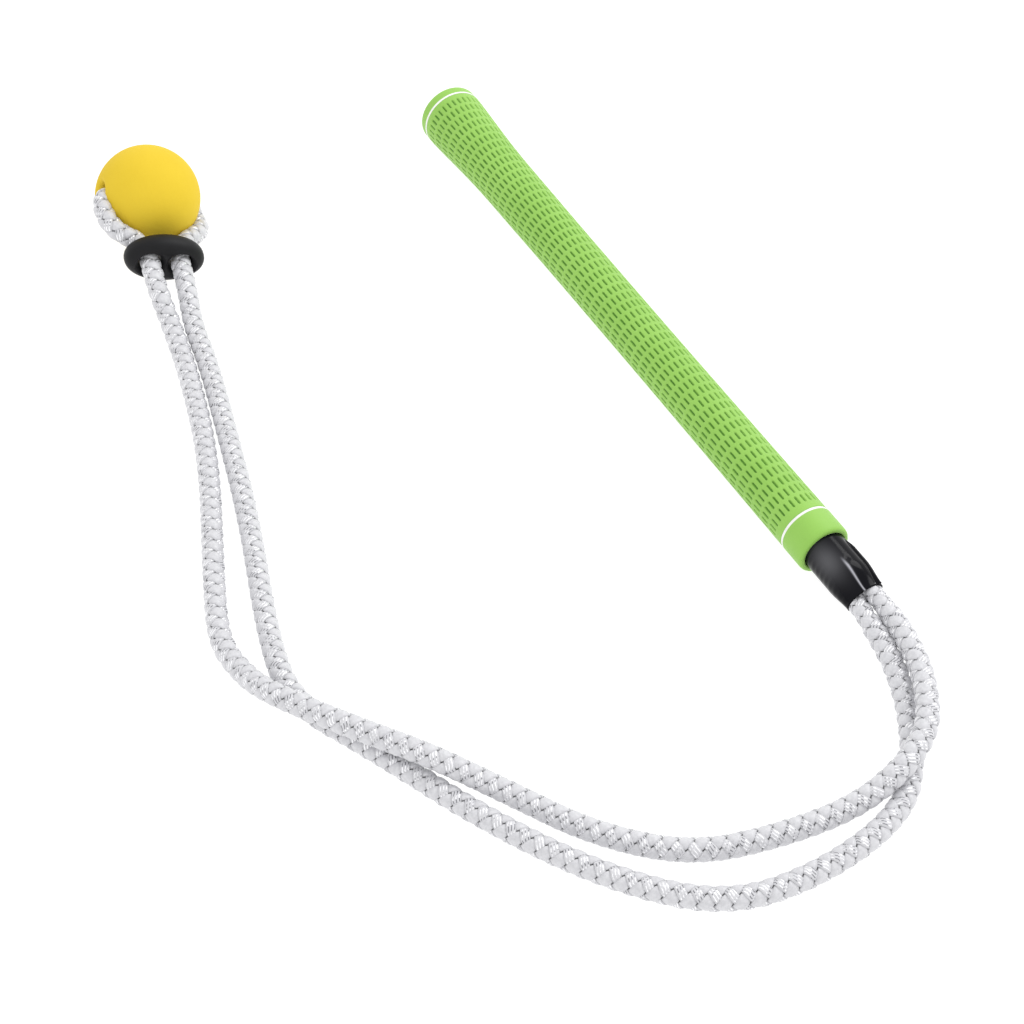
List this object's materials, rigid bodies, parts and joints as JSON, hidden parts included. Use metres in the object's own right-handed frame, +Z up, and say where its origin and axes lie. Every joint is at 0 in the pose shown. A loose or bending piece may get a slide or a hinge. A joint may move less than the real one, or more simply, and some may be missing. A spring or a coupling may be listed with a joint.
{
  "type": "golf swing trainer",
  "caption": "Rubber golf grip with a braided rope doubled through a two-hole slider and a foam ball, for practising a swing.",
  "frame": {"origin": "under the middle of the handle, on the surface that it lies on; the handle runs from the butt to the end of the black sleeve", "axes": "+X along the handle from the butt to the mouth where the rope comes out, +Z up, and the rope and ball lie on the -Y side"},
  "size_m": [0.3918, 0.2059, 0.04],
  "materials": {
    "grip_rubber": "matte",
    "ring_paint": "satin",
    "tape": "matte",
    "tube_metal": "satin",
    "ferrule_metal": "satin",
    "pin_steel": "satin",
    "shrink_film": "gloss",
    "rope_braid": "matte",
    "slider_rubber": "matte",
    "ball_foam": "matte"
  },
  "bodies": {
    "handle": {"grip_body": "grip_rubber", "butt_cap": "grip_rubber", "butt_ring_line": "ring_paint", "mouth_ring_line": "ring_paint", "grip_tape": "tape", "core_tube": "tube_metal", "crimp_ferrule": "ferrule_metal", "rope_ends": "rope_braid", "anchor_pin": "pin_steel", "shrink_sleeve": "shrink_film", "rope": "rope_braid"},
    "slider": {"slider": "slider_rubber"},
    "ball": {"ball": "ball_foam"}
  },
  "joints": [
    {"name": "slider_slide", "type": "slide", "parent": "handle", "child": "slider", "axis": [0.973, -0.2211, -0.0663], "range_m": [0, 0.006]},
    {"name": "ball_spin", "type": "hinge", "parent": "handle", "child": "ball", "pos_m": [-0.145, -0.1305, 0.02], "axis": [-0.1302, -0.9164, 0.3786], "continuous": true}
  ]
}
